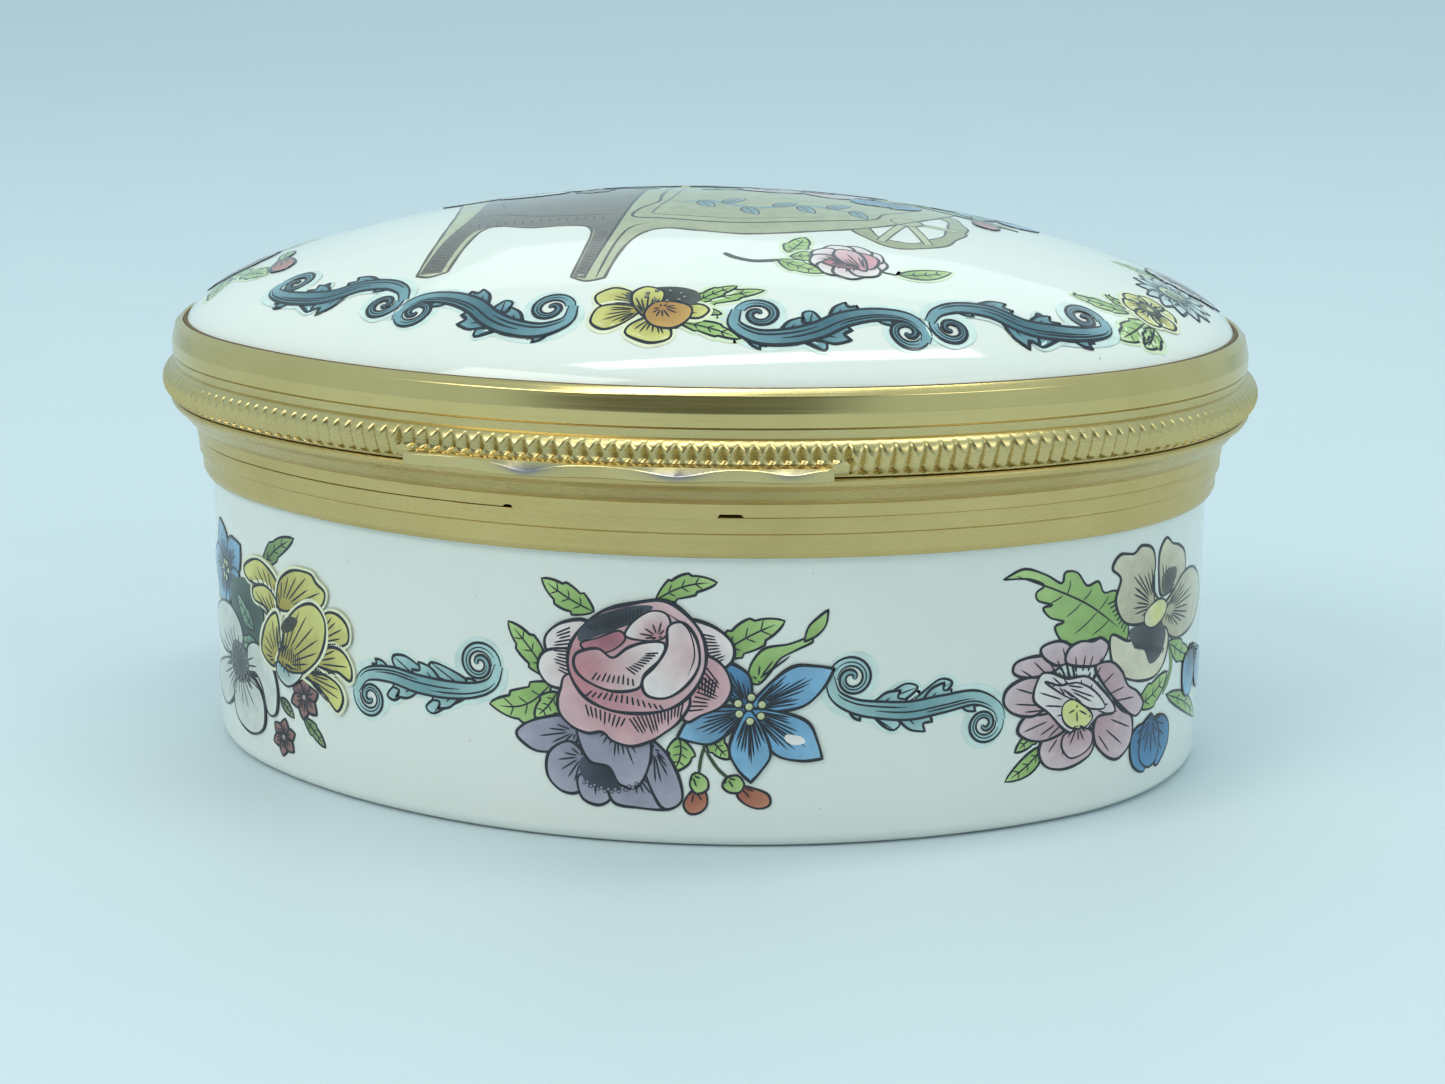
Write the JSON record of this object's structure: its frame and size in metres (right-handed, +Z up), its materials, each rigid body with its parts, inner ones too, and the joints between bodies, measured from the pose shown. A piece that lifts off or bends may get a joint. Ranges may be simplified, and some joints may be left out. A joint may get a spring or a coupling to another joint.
{
  "type": "hinged oval enamel box",
  "caption": "Oval enamelled copper trinket box with a domed lid hinged at the back, gilt brass mounts, a milled rim and a wavy front thumb piece.",
  "frame": {"origin": "centre of the oval base on its underside", "axes": "+X along the oval's length, +Z up, the thumb piece at -Y and the hinge at +Y"},
  "size_m": [0.0566, 0.0478, 0.0285],
  "materials": {
    "enamel": "glossy fired enamel, hand painted over",
    "lining": "glossy fired enamel, plain",
    "copper": "pressed copper sheet, hidden",
    "cement": "hard resin cement",
    "gilt": "satin gilt brass",
    "pin": "drawn wire"
  },
  "bodies": {
    "base": {"base_enamel": "enamel", "base_copper": "copper", "base_lining": "lining", "base_cement": "cement", "base_collar": "gilt", "base_rim": "gilt", "base_lip": "gilt", "catch_pip": "gilt", "base_hinge_leaf": "gilt", "base_knuckle_left": "gilt", "base_knuckle_centre": "gilt", "base_knuckle_right": "gilt", "hinge_pin": "pin"},
    "lid": {"lid_enamel": "enamel", "lid_copper": "copper", "lid_lining": "lining", "lid_cement": "cement", "lid_collar": "gilt", "lid_milled_rim": "gilt", "lid_liner": "gilt", "thumb_piece": "gilt", "lid_hinge_leaf": "gilt", "lid_knuckle_left": "gilt", "lid_knuckle_right": "gilt"}
  },
  "joints": [
    {"name": "lid_hinge", "type": "hinge", "parent": "base", "child": "lid", "pos_m": [0, 0.0235, 0.018], "axis": [-1, 0, 0], "range_deg": [0, 100]}
  ]
}
